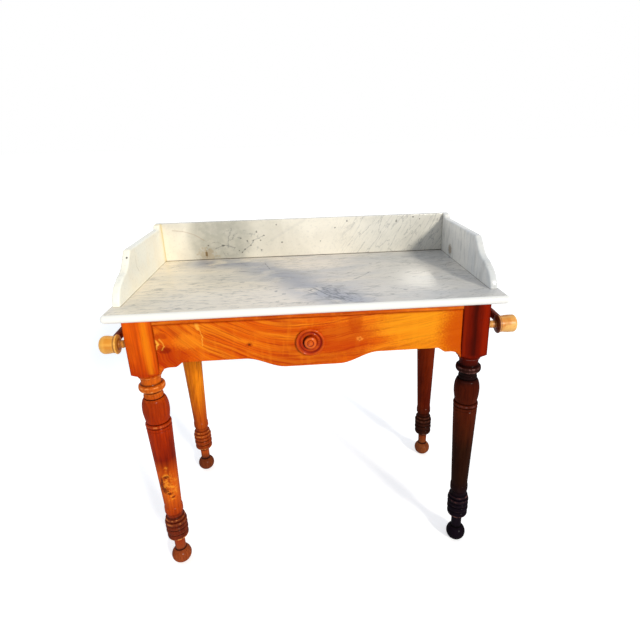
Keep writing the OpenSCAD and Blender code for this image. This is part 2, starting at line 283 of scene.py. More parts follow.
def show(node, mesh, material, crease=32):
    """Puts a mesh in the place of a CAD node, on the node's own body."""
    mesh.polygons.foreach_set("use_smooth", [True] * len(mesh.polygons))
    mesh.set_sharp_from_angle(angle=math.radians(crease))
    mesh.materials.clear()
    mesh.materials.append(material)
    piece = put(node + "_finished", mesh)
    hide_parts(node)
    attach(piece, next(body for body, members in BODIES.items() if node in members))


# ---------- material tools ----------


def from_screen(tone):
    """A colour as it shows on a screen, made into the linear numbers that nodes take."""
    shares = [c / 255 for c in tone]
    return (*[c / 12.92 if c <= 0.04045 else ((c + 0.055) / 1.055) ** 2.4 for c in shares], 1.0)


def feed(tree, socket, value):
    """Sets a socket, or links it to what feeds it."""
    if isinstance(value, Field):
        value = value.socket
    if isinstance(value, bpy.types.NodeSocket):
        tree.links.new(value, socket)
    elif isinstance(value, tuple) and len(value) == 3:
        socket.default_value = from_screen(value)
    else:
        socket.default_value = value


def add(tree, kind, *inputs, **settings):
    """A new shader node. Each input is a socket's name or number, and its value."""
    made = tree.nodes.new("ShaderNode" + kind)
    for key, value in settings.items():
        setattr(made, key, value)
    for key, value in inputs:
        feed(tree, made.inputs[key], value)
    return made


class Field:
    """A number or colour that varies over a surface. + - * and abs() make nodes of it."""

    def __init__(self, finish, socket):
        self.finish, self.socket = finish, socket

    def __add__(self, other):
        return self.finish.math("ADD", self, other)

    def __sub__(self, other):
        return self.finish.math("SUBTRACT", self, other)

    def __rsub__(self, other):
        return self.finish.math("SUBTRACT", other, self)

    def __mul__(self, other):
        return self.finish.math("MULTIPLY", self, other)

    def __abs__(self):
        return self.finish.math("ABSOLUTE", self)


class Finish:
    """A material made of nodes. Its colour is painted in layers."""

    def __init__(self, name, **surface):
        self.material = bpy.data.materials.new(name)
        self.material.use_nodes = True
        self.tree = self.material.node_tree
        self.surface = self.tree.nodes["Principled BSDF"]
        for key, value in surface.items():
            self.surface.inputs[key.replace("_", " ")].default_value = value
        point = self.node("TexCoord", output="Object")
        axes = add(self.tree, "SeparateXYZ", (0, point)).outputs
        self.place = [Field(self, axis) for axis in axes]
        self.x, self.y, self.z = self.place
        self.colour = None

    def node(self, kind, *inputs, output=0, **settings):
        """One output of a new node."""
        return Field(self, add(self.tree, kind, *inputs, **settings).outputs[output])

    def math(self, operation, *values):
        return self.node("Math", *enumerate(values), operation=operation)

    def distance(self, a, b):
        return self.math("SQRT", a * a + b * b)

    def step(self, value, low, high, to_low=0.0, to_high=1.0):
        """A smooth rise from to_low to to_high as value goes from low to high."""
        inputs = (("Value", value), ("From Min", low), ("From Max", high))
        inputs += (("To Min", to_low), ("To Max", to_high))
        return self.node("MapRange", *inputs, interpolation_type="SMOOTHSTEP")

    def band(self, value, centre, width):
        """1 at centre and 0 further off than width."""
        return self.step(abs(value - centre), 0.0, width, 1.0, 0.0)

    def noise(self, place, scales, seed=0.0, detail=2.0, roughness=0.5, distortion=0.0):
        """Noise from about 0.2 to 0.8, with a scale for each direction and a seed that shifts it."""
        scaled = [self.math("MULTIPLY_ADD", v, scale, seed) for v, scale in zip(place, scales)]
        inputs = (("Vector", self.node("CombineXYZ", *enumerate(scaled))), ("Scale", 1.0))
        inputs += (("Detail", detail), ("Roughness", roughness), ("Distortion", distortion))
        return self.node("TexNoise", *inputs)

    def mix(self, factor, a, b, blend="MIX"):
        inputs = ((0, factor), (6, a), (7, b))
        return self.node("Mix", *inputs, output=2, data_type="RGBA", blend_type=blend)

    def lay(self, tone, *amounts, blend="MIX"):
        """Paints a tone over the colour, as strongly as all the amounts multiplied."""
        self.colour = self.mix(functools.reduce(operator.mul, amounts), self.colour, tone, blend)

    def shade(self, tone, *amounts):
        """Multiplies the colour by a tone of linear numbers."""
        self.lay(tone, *amounts, blend="MULTIPLY")

    def ramp(self, value, stops):
        """A colour that changes along value. Each stop is a place from 0 to 1 and a colour."""
        made = self.node("ValToRGB", (0, value))
        elements = made.socket.node.color_ramp.elements
        elements.remove(elements[1])
        elements[0].position, elements[0].color = stops[0][0], from_screen(stops[0][1])
        for place, tone in stops[1:]:
            elements.new(place).color = from_screen(tone)
        return made

    def spot(self, u, v, centre, size, wobble=0.0, seed=0.0, fineness=260):
        """1 inside a soft ellipse at centre, with a ragged edge where wobble is over 0."""
        off_u = (u - centre[0] * MM) * (1 / (size[0] * MM))
        off_v = (v - centre[1] * MM) * (1 / (size[1] * MM))
        far = self.distance(off_u, off_v)
        if wobble:
            far += (self.noise((u, v, 0.0), (fineness, fineness, 1), seed) - 0.5) * wobble
        return self.step(far, 0.45, 1.0, 1.0, 0.0)

    def done(self, height=None, depth=0.08 * MM, roughness=None):
        """Links the colour, the roughness and a bump of that depth to the surface."""
        feed(self.tree, self.surface.inputs["Base Color"], self.colour)
        if roughness:
            feed(self.tree, self.surface.inputs["Roughness"], roughness)
        if height:
            bump = self.node("Bump", ("Height", height), ("Distance", depth), ("Strength", 0.5))
            feed(self.tree, self.surface.inputs["Normal"], bump)
        return self.material


# ---------- wood ----------


def growth(s, place, pith, seed):
    """Distance from a pith that lies beside the board, in metres, wavy along the fibres."""
    along, across, deep = place
    radius = s.distance(across - pith[0], deep - pith[1])
    waves = (((2.4, 7, 7), 0, 3.0, 40), ((16, 34, 34), 7, 2.0, 4), ((60, 26, 26), 8, 2.0, 2.4))
    for scales, shift, detail, reach in waves:
        radius += (s.noise(place, scales, seed + shift, detail) - 0.5) * (reach * MM)
    return radius + along * 0.03


def figure(s, place, tones, pith, seed, fineness=1.0, contrast=0.6, curly=0.28):
    """Paints wood and gives its height. tones are the dark, middle and light colours of the wood.

    The place is along, across and into the board. curly is how strong the pale bands are that
    cross the fibres.
    """
    dark, s.colour, light = tones
    along, across, _ = place
    radius = growth(s, place, pith, seed)
    grown = (radius, along, across)
    broad = s.noise(grown, (60 * fineness, 5, 7), seed + 3)
    rings = s.noise(grown, (260 * fineness, 8, 11), seed + 5, 3.0, 0.6)
    streaks = s.noise(grown, (760 * fineness, 20, 30), seed + 9, 2.0, 0.6)
    cloud = s.noise(place, (6, 15, 15), seed + 11, 3.0)
    shimmer = s.noise(place, (80, 16, 16), seed + 13)
    fibre = s.noise((along, radius, across), (70, 1500, 60), seed + 17, 2.0, 0.7)
    pores = s.step(fibre, 0.56, 0.72)
    late = s.step(rings, 0.50, 0.68)
    s.lay(light, s.step(broad, 0.36, 0.64), 0.85)
    s.lay(dark, s.step(cloud, 0.46, 0.70), 0.5)
    s.lay(dark, late, contrast)
    s.lay(light, s.step(rings, 0.45, 0.31), contrast * 0.5)
    s.lay(dark, s.step(streaks, 0.50, 0.70), contrast * 0.7)
    s.lay(light, s.step(shimmer, 0.50, 0.66), curly)
    s.lay(dark, pores, 0.4)
    return late * 0.35 - pores * 0.8


def fibres_first(place, axis):
    """The coordinates of a place, beginning with the one along the fibres."""
    values = list(place)
    return [values.pop(axis), *values]


def rubbed_edges(s, lo, hi, width, tone, amount):
    """Paints the edges of a box, down to width from them in millimetres."""
    gaps = [(high - low) / 2 - abs(v - (low + high) / 2) for v, low, high in zip(s.place, lo, hi)]
    small = s.math("MINIMUM", gaps[0], gaps[1])
    large = s.math("MAXIMUM", gaps[0], gaps[1])
    gap = s.math("MAXIMUM", small, s.math("MINIMUM", large, gaps[2]))
    s.lay(tone, s.step(gap, 0.6 * MM, width * MM, 1.0, 0.0), amount)


def varnished(name, **surface):
    settings = {"Roughness": 0.4, "Specular_IOR_Level": 0.0, "Coat_Weight": 0.07}
    return Finish(name, **(settings | {"Coat_Roughness": 0.09} | surface))


def board_wood(name, axis, tones, lo, hi, seed):
    """Varnished board whose fibres run along one axis, with rubbed edges."""
    s = varnished(name)
    height = figure(s, fibres_first(s.place, axis), tones, (0.03, 0.09), seed)
    rubbed_edges(s, lo, hi, 3, tones[0], 0.5)
    return s.done(height)


def plain_wood(name, axis, seed):
    """Unfinished wood inside the frame and drawer, with saw marks and dust."""
    s = Finish(name, Roughness=0.75, Specular_IOR_Level=0.2)
    place = fibres_first(s.place, axis)
    height = figure(s, place, ((112, 74, 42), (168, 124, 78), (192, 150, 100)), (0.04, 0.10), seed)
    dust = s.noise(s.place, (30, 30, 30), seed, 4.0, 0.65)
    s.lay((96, 76, 58), s.step(dust, 0.5, 0.75), 0.4)
    saw = s.math("SINE", place[0] * 1800 + dust * 14)
    return s.done(height + saw * 0.3, 0.15 * MM)


GROOVE_DIRT_AND_SHADE = (40, 14, 6)


def turned_wood(name, axis, centre, tones, seed, coat=0.15, groove_darkening=GROOVE_DIRT_AND_SHADE, overpaint=None, gloss=0.16):
    """Small turned piece whose fibres run along its axis.

    overpaint paints over it, and gets the places along the axis and out from it.
    """
    s = varnished(name, Coat_Weight=coat, Coat_Roughness=gloss)
    place = fibres_first([v - c for v, c in zip(s.place, centre)], axis)
    height = figure(s, place, tones, (0.02, 0.014), seed, 1.5, 0.4)
    groove = s.node("Attribute", output="Fac", attribute_name="relief")
    # Grooves darkened, as dirt and painted shade, and crests lightened, as wear and painted highlight.
    s.lay(groove_darkening, s.step(groove, 0.10, 0.55), 0.75)
    s.lay(tones[2], s.step(groove, -0.12, -0.5), 0.35)
    if overpaint:
        overpaint(s, place[0], s.distance(*place[1:]))
    return s.done(height, 0.05 * MM)


# Stain of the turned legs, with painted shade: height from the floor and the colour there.
# The right legs are darkened as painted shade, darkest low on the front right leg, and the
# front left leg has a painted shadow, darkest around 340 mm.
LEG_STAIN_AND_SHADE = {
    "leg_front_left": [
        (50, (146, 66, 30)), (80, (158, 56, 18)), (90, (112, 40, 18)), (155, (112, 40, 18)),
        (170, (168, 56, 8)), (250, (212, 94, 18)), (300, (206, 82, 10)), (340, (138, 30, 0)),
        (420, (166, 44, 0)), (500, (166, 52, 4)), (520, (214, 100, 22)), (560, (222, 104, 20)),
        (574, (200, 60, 0)), (630, (228, 92, 4)),
    ],
    "leg_back_left": [
        (50, (112, 50, 22)), (70, (176, 74, 20)), (90, (140, 52, 12)), (160, (150, 56, 10)),
        (210, (186, 78, 10)), (340, (230, 128, 18)), (540, (236, 122, 16)), (572, (222, 98, 10)),
    ],
    "leg_front_right": [
        (150, (18, 9, 19)), (200, (36, 14, 6)), (310, (46, 18, 5)), (420, (84, 28, 8)),
        (490, (76, 22, 6)), (510, (26, 12, 12)), (540, (44, 14, 8)), (572, (102, 16, 2)),
    ],
    "leg_back_right": [
        (50, (122, 62, 34)), (70, (120, 50, 20)), (90, (44, 17, 10)), (155, (50, 18, 8)),
        (200, (92, 24, 4)), (572, (112, 32, 4)),
    ],
}
# Painted glints on the crests of the turnings, laid in patches
LEG_CREST_GLINT = {
    "leg_front_left": (246, 152, 78), "leg_back_left": (246, 158, 78),
    "leg_front_right": (122, 80, 74), "leg_back_right": (124, 74, 56),
}
# What the figure does to a leg's stained and shaded tone, in its dark, middle and light wood,
# as linear numbers
FIGURE_SHADES = ((0.46, 0.30, 0.24, 1), (1, 1, 1, 1), (1.22, 1.36, 1.2, 1))
GROOVE_GRIME_AND_SHADE = (0.16, 0.10, 0.09, 1)
# Upright streaks on a leg's block: across its axis, half width, tone, amount
BLOCK_STREAKS = {
    "leg_front_left": [
        (14, 13, (244, 140, 14), 0.62), (-6, 10, (196, 66, 0), 0.5), (30, 7, (206, 78, 2), 0.6),
    ],
    # The front right block's streaks are dark tones that carry its painted shade.
    "leg_front_right": [
        (-3, 13, (56, 8, 2), 0.75), (21, 13, (150, 30, 2), 0.75), (-26, 10, (136, 30, 2), 0.6),
    ],
}
# Knocks on the front left leg: across its axis, height, half width, half height
LEG_SCARS = [
    (-10, 276, 5, 17), (3, 290, 9, 5), (-6, 250, 11, 13), (4, 238, 8, 5), (-12, 262, 6, 10),
    (10, 226, 6, 3),
]


def leg_wood(node, centre, seed):
    """Turned and varnished leg: its stain and painted shade change with height, its grooves are
    darkened as grime and painted shade, and its crests have painted glints.
    """
    coat = 0.05 if node.endswith("right") else 0.10
    s = varnished(node, Coat_Weight=coat, Coat_Roughness=0.17)
    x, y = s.x - centre.x, s.y - centre.y
    height = figure(s, (s.z, x, y), FIGURE_SHADES, (0.055, 0.03), seed, 0.8, 0.4, 0.06)
    # Stain by height, with the painted shade of the right legs and the front left leg's painted shadow.
    tint = s.ramp(s.z * (1 / SLAB_Z), [(z * MM / SLAB_Z, tone) for z, tone in LEG_STAIN_AND_SHADE[node]])
    s.colour = s.mix(1.0, tint, s.colour, "MULTIPLY")
    grain = s.noise((x, y, s.z), (230, 230, 4), seed, 3.0, 0.6, 0.4)
    s.shade(FIGURE_SHADES[0], s.step(grain, 0.46, 0.70, 0.0, 0.5))
    s.shade(FIGURE_SHADES[2], s.step(grain, 0.44, 0.30, 0.0, 0.7))
    groove = s.node("Attribute", output="Fac", attribute_name="relief")
    # Grooves darkened, as grime and painted shade.
    s.shade(GROOVE_GRIME_AND_SHADE, s.step(groove, 0.25, 0.85))
    # Painted glints: the crests are lightened in patches, above the foot.
    glint_patches = s.step(s.noise((s.z, x, y), (70, 110, 110), seed), 0.46, 0.60, 0.12, 0.80)
    above_foot = s.step(s.z, 50 * MM, 80 * MM)
    s.lay(LEG_CREST_GLINT[node], s.step(groove, -0.40, -0.95), glint_patches, above_foot)
    if node == "leg_front_left":
        leg_scars(s, x)
    waver = x + (s.noise((x, y, s.z), (60, 60, 14), seed + 2) - 0.5) * (10 * MM)
    for across, width, tone, amount in BLOCK_STREAKS.get(node, []):
        streak = s.band(waver, across * MM, width * MM)
        s.lay(tone, streak, s.step(s.z, BLOCK_Z, BLOCK_Z + 8 * MM), amount)
    gap = s.math("MAXIMUM", BLOCK / 2 - abs(x), BLOCK / 2 - abs(y))
    edge = s.step(gap, 0.5 * MM, 3.5 * MM, 1.0, 0.0)
    s.shade(FIGURE_SHADES[0], edge, s.step(s.z, BLOCK_Z - 4 * MM, BLOCK_Z), 0.5)
    return s.done(height)


def leg_scars(s, x):
    """Dark knocks and a rubbed patch low on the front left leg."""
    facing = s.step(s.y, FRONT_Y + 42 * MM, FRONT_Y + 34 * MM)
    rub = s.spot(x, s.z, (6, 262), (19, 56), 1.6, 7.0, 90)
    worn = s.step(s.noise((x, s.z, s.y), (150, 150, 60), 9.0, 3.0, 0.6), 0.40, 0.62)
    s.lay((250, 156, 44), rub, worn, facing, 0.6)
    for across, up, width, tall in LEG_SCARS:
        mark = s.spot(x, s.z, (across, up), (width, tall), 2.6, up / 10, 340)
        s.lay((84, 16, 2), mark, facing, 0.8)


ORANGE = ((178, 52, 4), (224, 96, 8), (240, 134, 22))
# Darker and lighter clouds of the drawer front: place, half size, tone, amount. The last,
# darker at the right end beside the block, is a painted shadow.
FRONT_SHADES = [
    ((-275, 652), (40, 24), (252, 146, 26), 0.45), ((-318, 616), (64, 36), (176, 36, 0), 0.6),
    ((-325, 634), (18, 10), (120, 14, 0), 0.6), ((-330, 668), (20, 10), (168, 34, 0), 0.5),
    ((62, 640), (110, 55), (186, 50, 2), 0.55), ((98, 680), (22, 40), (176, 44, 0), 0.5),
    ((235, 670), (110, 70), (255, 176, 30), 0.32), ((360, 640), (88, 110), (196, 72, 0), 0.85),
]
# Pale lines in the figure of the drawer front, how wide they are and how strong
FRONT_LINES = [
    ([(-353, 666), (-342, 657), (-338, 650), (-345, 639)], 4.5, 1.0),
    ([(-334, 662), (-328, 652), (-326, 645), (-331, 636)], 3, 0.6),
    ([(-253, 702), (-248, 682)], 6.5, 0.8),
    ([(-247, 684), (-240, 662), (-243, 641)], 2, 0.6),
]


def front_wood():
    """The drawer front: arched figure at the left, rising lines at the right, a knot, old marks and a
    painted shadow at the right end.
    """
    s = varnished("drawer_front_wood")
    arms = s.math("SMOOTH_MAX", -0.09 - s.x, 0.0, 0.08) * 0.45
    arms += s.math("SMOOTH_MAX", -0.25 - s.x, 0.0, 0.04) * 0.55
    arms += s.math("SMOOTH_MAX", s.x - 0.01, 0.0, 0.08) * 0.20
    swirl = s.spot(s.x, s.z, (-338, 650), (50, 45)) * 0.016
    place = (s.x, s.z - arms - swirl, s.y)
    height = figure(s, place, ORANGE, (0.50, -0.16), 2.0, 1.1, 0.85, 0.22)
    s.lay((248, 158, 20), s.step(s.x, 0.09, 0.28), 0.34)
    for centre, size, tone, amount in FRONT_SHADES:
        s.lay(tone, s.spot(s.x, s.z, centre, size, 0.7, centre[1] / 20), amount)
    for index, (points, width, amount) in enumerate(FRONT_LINES):
        s.lay((252, 176, 60), crack(s, s.x, s.z, points, width, index), amount)
    for x, tone in zip(PLUG_X, (ORANGE[0], (250, 150, 54))):
        s.lay(tone, s.spot(s.x, s.z, (x, knob_z / MM), (10, 7), 1.4, 3.0), 0.7)
    rubbed_edges(s, front_lo, front_hi, 4, ORANGE[0], 0.45)
    return s.done(height)


# ---------- marble ----------

VEIN = (70, 76, 88)
PALE_VEIN = (148, 150, 150)
WISP = (84, 84, 80)
SPECK = (58, 56, 54)
GROUT = (208, 190, 116)
OLD_GROUT = (146, 122, 70)
DARK_LINE = (96, 84, 66)


def turned_by(u, v, w, degrees):
    """A place, turned about its third direction."""
    cosine, sine = math.cos(math.radians(degrees)), math.sin(math.radians(degrees))
    return u * cosine + v * sine, v * cosine - u * sine, w


def veins(s, place, scales, seed, width, detail=3.0):
    """1 on thin lines that run along the first direction, 0 off them."""
    return s.band(s.noise(place, scales, seed, detail, 0.5, 0.3), 0.5, width)


def crack(s, u, v, points, width, seed):
    """1 on a wavering line through the points, 0 further off than width."""
    shake = s.noise((u, v, 0.0), (150, 150, 1), seed) - 0.5
    u, v = u + shake * (7 * MM), v - shake * (5 * MM)
    nearest = None
    for (u0, v0), (u1, v1) in zip(points, points[1:]):
        length = math.hypot(u1 - u0, v1 - v0)
        du, dv = (u1 - u0) / length, (v1 - v0) / length
        from_u, from_v = u - u0 * MM, v - v0 * MM
        along = s.math("MAXIMUM", from_u * du + from_v * dv, 0.0)
        along = s.math("MINIMUM", along, length * MM)
        off = s.distance(from_u - along * du, from_v - along * dv)
        nearest = s.math("MINIMUM", nearest, off) if nearest else off
    return s.step(nearest, 0.0, width * MM, 1.0, 0.0)


def specks(s, u, v, places, tone, *amounts):
    """Ragged spots. Each place is across, up, half width and half height."""
    for index, (across, up, width, tall) in enumerate(places):
        spot = s.spot(u, v, (across, up), (width, tall), 1.2, 3.0 * index)
        s.lay(tone, spot, *amounts)


def marble(name, tones, seed, marks, drift=(5, 9, 7)):
    """Polished white marble. tones are the stone's ground and its cloud."""
    s = Finish(name, Specular_IOR_Level=0.5)
    cloud = s.noise(s.place, drift, seed, 4.0, 0.55, 0.5)
    s.colour = s.mix(s.step(cloud, 0.40, 0.68), *tones)
    grit = s.noise(s.place, (130, 130, 130), seed + 2, 3.0, 0.6)
    s.lay(PALE_VEIN, s.step(grit, 0.52, 0.74), 0.16)
    marks(s)
    return s.done(roughness=s.step(cloud, 0.3, 0.7, 0.13, 0.22))


SLAB_SPECKS = [
    (163, 11, 8, 4), (180, 101, 7, 4), (227, -153, 8, 4), (153, -184, 8, 3), (51, -94, 10, 5),
    (83, -100, 8, 3), (-137, -167, 10, 4), (-79, -119, 5, 8), (-73, -198, 6, 4),
    (-60, -143, 6, 6), (-266, 129, 12, 4), (-177, 74, 14, 5), (-292, 97, 10, 3),
    (-169, -30, 10, 5), (-121, -71, 12, 4), (-370, -56, 16, 6), (-290, -211, 12, 4),
    (-263, -215, 8, 4),
]
SLAB_CRACKS = [
    ([(115, -51), (140, -24), (163, 9)], 2.4), ([(-123, 160), (-103, 83)], 2.4),
    ([(17, -117), (43, -167), (78, -208)], 3.4), ([(23, -133), (38, -124), (51, -114)], 2.6),
    ([(-48, -102), (-19, -103), (15, -108)], 2.6), ([(49, -97), (83, -103)], 3),
    ([(54, -176), (77, -201)], 3), ([(-69, -220), (-51, -212), (-18, -207)], 2.6),
    ([(64, -156), (92, -163), (124, -172), (156, -192)], 2),
]
SHADOW_BAND = [(-300, 190), (-166, 160), (-47, -5), (3, -106), (90, -210)]


def slab_marks(s):
    """A painted shadow in a grey-blue band slanting across the slab, fine wisps along it, veins,
    specks and joint lines, a greyer right and a warmer left in part painted shade and sunlight,
    and a painted highlight on the nose.
    """
    on_top = s.step(s.y, FRONT_Y + 6 * MM, FRONT_Y + 10 * MM)
    # A greyer right and a warmer left, in part painted shade and painted sunlight.
    s.lay((192, 193, 190), s.step(s.x, 0.0, 0.26, 0.0, 0.55))
    s.lay((252, 238, 208), s.step(s.x, 0.05, -0.28, 0.0, 0.6))
    # Painted shadow: a grey-blue band slanting across the slab, broken by noise.
    drift = s.step(s.noise(s.place, (14, 20, 10), 21.0, 3.0), 0.22, 0.52)
    s.lay((150, 156, 174), crack(s, s.x, s.y, SHADOW_BAND, 105, 40.0), drift, on_top, 0.85)
    level = turned_by(*s.place, -5)
    patch = s.step(s.noise(level, (5, 9, 5), 3.0, 3.0), 0.36, 0.60)
    s.lay(PALE_VEIN, patch, veins(s, level, (9, 44, 20), 8.0, 0.034, 4.0), on_top, 0.30)
    broken = s.step(s.noise(level, (30, 60, 30), 17.0), 0.46, 0.60)
    wisps = veins(s, level, (15, 125, 30), 14.0, 0.050, 5.0)
    s.lay(WISP, wisps, broken, on_top, patch * 0.36 + 0.08)
    aslant = turned_by(*s.place, 22)
    threads = veins(s, aslant, (14, 70, 30), 19.0, 0.030, 5.0)
    gaps = s.step(s.noise(aslant, (24, 40, 30), 27.0), 0.44, 0.60)
    s.lay(WISP, threads, gaps, on_top, 0.42)
    steep = turned_by(s.x - 0.030, s.y + 0.130, s.z, -50)
    near = s.band(steep[1], 0.0, 0.055) * s.step(steep[0], -0.06, 0.0)
    near *= s.step(steep[0], 0.13, 0.07)
    network = veins(s, steep, (22, 90, 20), 31.0, 0.080)
    s.lay(VEIN, s.step(near, 0.0, 0.6), network, on_top, 0.7)
    specks(s, s.x, s.y, SLAB_SPECKS, VEIN, 0.5)
    for index, (points, width) in enumerate(SLAB_CRACKS):
        line = crack(s, s.x, s.y, points, width, index)
        s.lay(VEIN, line, s.step(broken, 0.0, 0.5, 0.35, 0.75))
    # Painted highlight: the front nose lightened nearly to white; on_top keeps the veins off it.
    s.lay((250, 250, 246), s.step(on_top, 1.0, 0.0, 0.0, 0.8))
    behind_foot = s.step(s.y, left_lo.y, left_lo.y + 2 * MM)
    s.lay(OLD_GROUT, s.band(s.x, left_hi.x, 1.6 * MM), behind_foot, 0.85)
    s.lay(DARK_LINE, s.band(s.x, right_lo.x, 1.2 * MM), behind_foot, 0.8)
    s.lay(DARK_LINE, s.band(s.y, back_lo.y, 2 * MM), 0.95)


BACK_SPECKS = [
    (-71, 767, 3.8, 3.8), (-134, 746, 3.2, 3.2), (-146, 802, 4, 4), (-124, 790, 3, 3),
    (-135, 776, 3, 3), (-175, 776, 2.5, 2.5), (-193, 785, 2.5, 2.5), (-248, 764, 6, 3.5),
    (-292, 766, 3, 3), (-157, 776, 3, 3), (-165, 762, 3, 3), (-184, 750, 3, 3),
    (-193, 741, 3, 3), (-201, 747, 2.5, 2.5), (-85, 821, 3, 3), (91, 805, 3, 3),
    (128, 823, 3.5, 3.5), (279, 818, 4, 5), (331, 829, 4, 4), (351, 822, 3, 3),
    (46, 766, 2.5, 2.5),
]
BACK_CRACKS = [
    [(-219, 815), (-230, 786), (-234, 759)],
    [(-272, 755), (-248, 765), (-235, 764), (-212, 756)],
    [(-124, 790), (-157, 776), (-165, 762), (-184, 750), (-193, 741)],
]
BROWN_CRACK = [(-392, 815), (-360, 811), (-329, 800), (-302, 782)]
PALE_CRACK = [(-103, 775), (-41, 811), (2, 832)]
# How far behind a face its own marks end
FACE_DEPTH = 3 * MM


def back_marks(s):
    """A grey cloud that is painted shadow, with specks and branching veins, a greyer right that is
    painted shade, slanting streaks at the right, and a rusty spot.
    """
    inner = s.band(s.y, back_lo.y, FACE_DEPTH)
    face = (s.x, s.z, s.y)
    # Painted shadow: a soft grey mottled cloud, going on from the band on the slab.
    s.lay((190, 186, 170), s.spot(s.x, s.z, (-200, 780), (190, 140), 0.6, 8.0, 14), 0.26)
    shadow_patch = s.spot(s.x, s.z, (-256, 800), (116, 190), 0.6, 2.0, 14)
    mottled = s.step(s.noise(face, (40, 40, 20), 23.0, 4.0, 0.6), 0.35, 0.65, 0.72, 1.0)
    s.lay((166, 164, 152), shadow_patch, mottled, 0.85)
    near = s.spot(s.x, s.z, (-215, 768), (125, 55), 0.8, 5.0)
    broken = s.step(s.noise(face, (60, 60, 60), 15.0), 0.50, 0.62)
    s.lay(VEIN, near, veins(s, face, (44, 50, 40), 12.0, 0.04), broken, 0.5)
    # Painted shade: the right part of the back upstand made greyer.
    s.lay((178, 182, 182), s.step(s.x, 0.10, 0.24), 0.30)
    slanting = turned_by(*face, 58)
    streaks = s.noise(slanting, (24, 150, 30), 6.0, 4.0, 0.65)
    s.lay(PALE_VEIN, s.step(s.x, -0.02, 0.20), s.step(streaks, 0.50, 0.72), 0.30)
    hairs = veins(s, slanting, (12, 50, 20), 3.0, 0.022, 4.0)
    s.lay(VEIN, hairs, s.step(s.x, 0.06, 0.20), 0.35)
    s.lay(PALE_VEIN, crack(s, s.x, s.z, PALE_CRACK, 7, 7.0), 0.12)
    for index, points in enumerate(BACK_CRACKS):
        s.lay(VEIN, crack(s, s.x, s.z, points, 2.4, 4.0 + index), 0.4)
    s.lay((150, 98, 40), crack(s, s.x, s.z, BROWN_CRACK, 2.4, 9.0), inner, 0.3)
    specks(s, s.x, s.z, BACK_SPECKS, SPECK, inner, 0.65)
    rust = s.spot(s.x, s.z, (-298, 736), (34, 28), 2.2, 6.0, 110)
    s.lay((160, 126, 66), rust, inner, 0.34)
    specks(s, s.x, s.z, [(-300, 741, 5, 12)], (112, 82, 32), inner, 0.85)
    s.lay(DARK_LINE, s.band(s.z, TOP_Z, 2.6 * MM), s.step(s.x, -0.40, -0.30, 0.4, 0.95))
    s.lay(GROUT, s.band(s.x, left_hi.x, 3 * MM), inner, 0.8)
    s.lay(DARK_LINE, s.band(s.x, right_lo.x, 1.4 * MM), inner, 0.8)


def left_marks(s):
    """Yellowed corner, a faint curl, a dark pit in the front edge and the line along the slab."""
    s.lay((240, 212, 140), s.step(s.y, back_lo.y - 30 * MM, back_lo.y), 0.5)
    curl = crack(s, s.y, s.z, [(-28, 802), (-33, 778), (-20, 762)], 3, 3.0)
    s.lay((190, 178, 150), curl, s.band(s.x, left_hi.x, FACE_DEPTH), 0.35)
    s.lay(SPECK, s.spot(s.x, s.z, (-428, 809), (3, 3)), s.step(s.y, -0.06, -0.07), 0.9)
    s.lay(GROUT, s.band(s.y, back_lo.y, 3 * MM), 0.8)
    s.lay(OLD_GROUT, s.band(s.z, TOP_Z, 1.4 * MM), 0.8)


def right_marks(s):
    """Upright streaks, a brown stain near the back corner and the dark line along the slab."""
    streaks = s.noise((s.y, s.z, s.x), (75, 16, 30), 6.0, 3.0, 0.6)
    s.lay(PALE_VEIN, s.step(streaks, 0.48, 0.70), 0.32)
    inner = s.band(s.x, right_lo.x, FACE_DEPTH)
    specks(s, s.y, s.z, [(139, 744, 22, 20)], (122, 96, 56), inner, 0.65)
    s.lay(DARK_LINE, s.band(s.y, back_lo.y, 1.6 * MM), 0.8)
    s.lay(DARK_LINE, s.band(s.z, TOP_Z, 1.4 * MM), 0.8)


# ---------- marble pieces ----------

NOSE_R = (TOP_Z - SLAB_Z) / 2 / MM


def make_slab():
    x0, y0, x1, y1 = slab_lo.x / MM, slab_lo.y / MM, slab_hi.x / MM, slab_hi.y / MM
    outline = arc((x0 + NOSE_R, y0 + NOSE_R), NOSE_R, 180, 270)
    outline += arc((x1 - NOSE_R, y0 + NOSE_R), NOSE_R, 270, 360)
    outline += [(x1, y1), (x0, y1)]
    mesh = plate(
        outline, SLAB_Z / MM, TOP_Z / MM, NOSE_R, NOSE_R, lambda u, v, w: (u, v, w),
        eased=lambda u, v: v < y1 - 1, steps=10,
    )
    tones = ((246, 234, 220), (206, 202, 202))
    show("marble_slab", mesh, marble("slab_marble", tones, 1.0, slab_marks, (3, 9, 5)))


def make_back_upstand():
    tones = ((240, 234, 220), (220, 214, 200))
    finish = marble("back_marble", tones, 5.0, back_marks)
    show("back_upstand", board(back_lo, back_hi, 2.2), finish)


SIDE_FOOT = 59
SIDE_LEVEL = 102
# The left upstand's cream is in part painted sunlight, and the right upstand's grey in part painted
# shade.
SUNLIT_CREAM = ((255, 253, 240), (254, 247, 228))
SHADED_GREY = ((236, 234, 228), (214, 216, 216))


